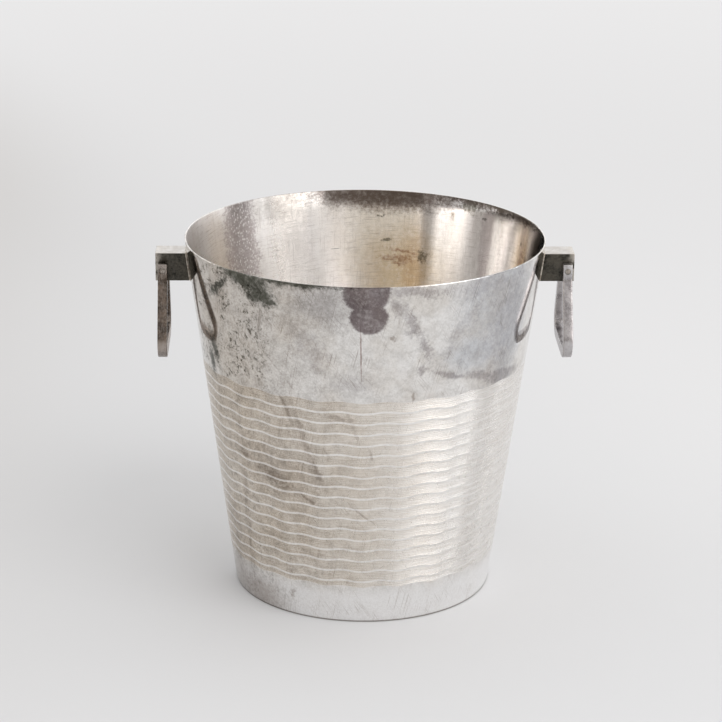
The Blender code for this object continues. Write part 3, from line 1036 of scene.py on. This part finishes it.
def dark_card(name, azimuth, elevation, width, height, colour):
    """A dark panel that only reflections see: the unlit side of the room."""
    card = plain_plane(name, 1.0, standing_at(azimuth, elevation, CARD_DISTANCE), BUCKET_MIDDLE)
    card.scale = (width, height, 1.0)
    material = bpy.data.materials.new(name)
    material.use_nodes = True
    shader = material.node_tree.nodes["Principled BSDF"]
    shader.inputs["Base Color"].default_value = (*colour, 1)
    shader.inputs["Roughness"].default_value = 0.9
    card.data.materials.append(material)
    glossy_only(card)


def soft_key():
    """A very large soft light from the window's side, for the floor's faint shadow."""
    light = bpy.data.lights.new("soft_key", "AREA")
    light.shape = "DISK"
    light.size = KEY_SIZE
    light.energy = KEY_POWER
    obj = bpy.data.objects.new("soft_key", light)
    bpy.context.scene.collection.objects.link(obj)
    obj.location = KEY_PLACE
    obj.rotation_euler = (-obj.location).to_track_quat("-Z", "Y").to_euler()
    obj.visible_camera = False
    obj.visible_glossy = False


def room_light():
    """Pale walls and ceiling all round, dimmer and warmer on the camera's side and the left."""
    world = bpy.data.worlds.new("studio")
    bpy.context.scene.world = world
    world.use_nodes = True
    tree = world.node_tree
    background = tree.nodes["Background"]
    direction = tree.nodes.new("ShaderNodeTexCoord")
    parts = tree.nodes.new("ShaderNodeSeparateXYZ")
    tree.links.new(direction.outputs["Generated"], parts.inputs[0])

    def toward(output, low, high, colour, dim):
        """Mixes colour towards dim as a direction's part goes from low to high."""
        fade = tree.nodes.new("ShaderNodeMapRange")
        fade.interpolation_type = "SMOOTHSTEP"
        fade.inputs["From Min"].default_value = low
        fade.inputs["From Max"].default_value = high
        tree.links.new(parts.outputs[output], fade.inputs["Value"])
        mix = tree.nodes.new("ShaderNodeMix")
        mix.data_type = "RGBA"
        mix.blend_type = "MULTIPLY"
        tree.links.new(fade.outputs[0], mix.inputs[0])
        if isinstance(colour, bpy.types.NodeSocket):
            tree.links.new(colour, mix.inputs[6])
        else:
            mix.inputs[6].default_value = colour
        mix.inputs[7].default_value = dim
        return mix.outputs[2]

    room = toward(1, 0.1, -0.8, ROOM_COLOUR, ROOM_FRONT)
    room = toward(0, -0.2, -0.9, room, ROOM_LEFT)
    tree.links.new(room, background.inputs["Color"])
    background.inputs["Strength"].default_value = ROOM_STRENGTH


def camera():
    """A long lens that looks down into the bucket from the front, a little to the left."""
    data = bpy.data.cameras.new("camera")
    data.lens = LENS
    data.sensor_width = SENSOR
    obj = bpy.data.objects.new("camera", data)
    bpy.context.scene.collection.objects.link(obj)
    aim = Vector((-AIM_ASIDE, 0, AIM_HEIGHT))
    pitch = radians(CAMERA_PITCH)
    stand = Vector((0, -cos(pitch), sin(pitch))) * CAMERA_DISTANCE + Vector((0, 0, AIM_HEIGHT))
    look = (aim - stand).to_track_quat("-Z", "Y").to_matrix().to_4x4()
    turn = Matrix.Rotation(-radians(CAMERA_TURN), 4, "Z")
    roll = Matrix.Rotation(radians(CAMERA_ROLL), 4, "Z")
    obj.matrix_world = turn @ Matrix.Translation(stand) @ look @ roll
    bpy.context.scene.camera = obj


studio_floor()
window("window_reveal", 33.5, 0.50, 1.15, (1.0, 0.98, 0.965))
window("window_left", 51.5, 0.94, 2.7, (1.0, 0.955, 0.91))
window("window_right", 75, 0.58, 2.1, (0.99, 0.995, 1.0))
window("window_edge", 105, 0.06, 4.5, (1.0, 0.99, 0.985))
dark_card("room_side", 93, 24, 0.87, 2.0, (0.17, 0.16, 0.155))
dark_card("room_front", -8, 9, 3.1, 1.0, (0.40, 0.38, 0.36))
soft_key()
room_light()
camera()
bpy.context.scene.view_settings.view_transform = "Standard"
